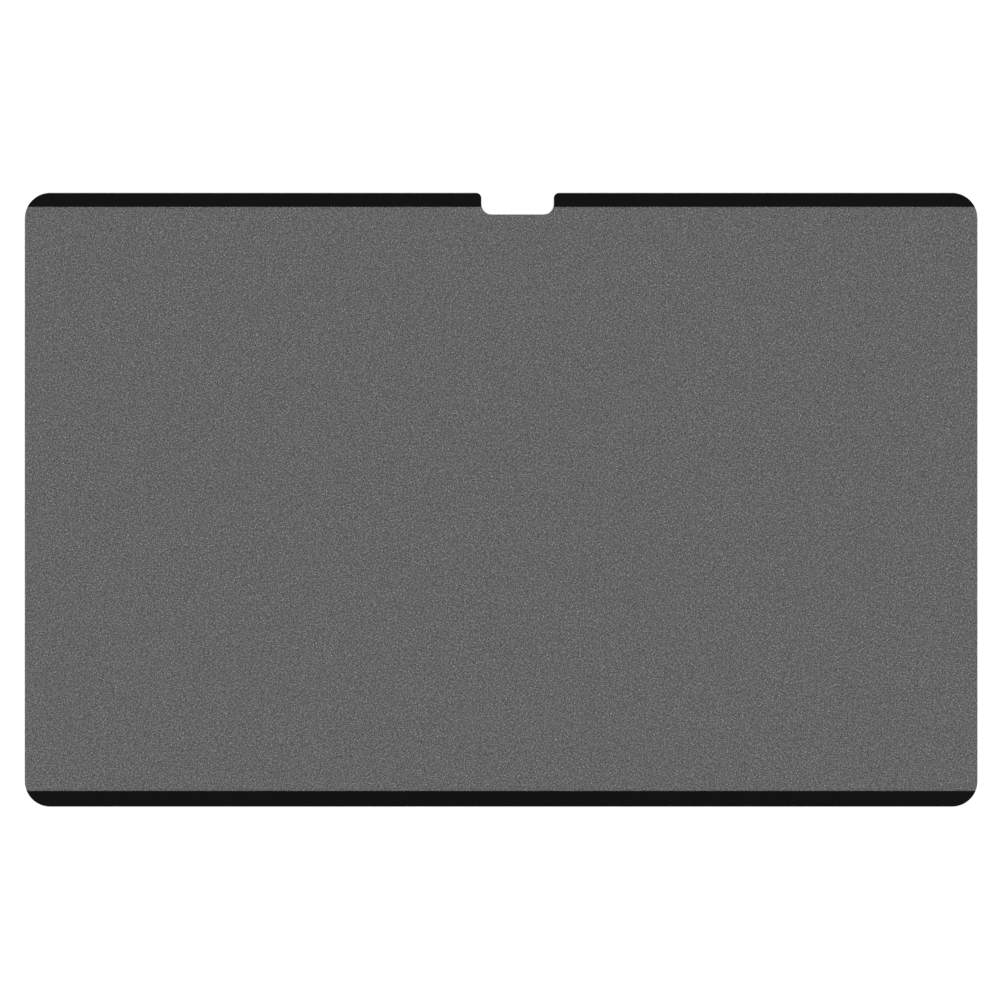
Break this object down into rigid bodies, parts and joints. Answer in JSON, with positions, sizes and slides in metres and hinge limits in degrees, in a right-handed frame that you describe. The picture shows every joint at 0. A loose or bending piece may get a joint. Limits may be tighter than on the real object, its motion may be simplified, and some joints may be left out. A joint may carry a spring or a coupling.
{
  "type": "tablet privacy screen protector",
  "caption": "Thin rectangular sheet of matte grey privacy film with rounded corners, black strips along its long edges and a camera notch, laid over a tablet's screen.",
  "frame": {"origin": "middle of the film's underside, which lies on the surface below", "axes": "+X along the long edges, +Y towards the edge with the camera notch, +Z out of the face that carries the strips"},
  "size_m": [0.281, 0.181, 0.0007],
  "materials": {
    "film": "matte",
    "strip": "matte"
  },
  "bodies": {
    "root": {"privacy_film": "film", "top_strip_left": "strip", "top_strip_right": "strip", "bottom_strip": "strip"}
  },
  "joints": []
}
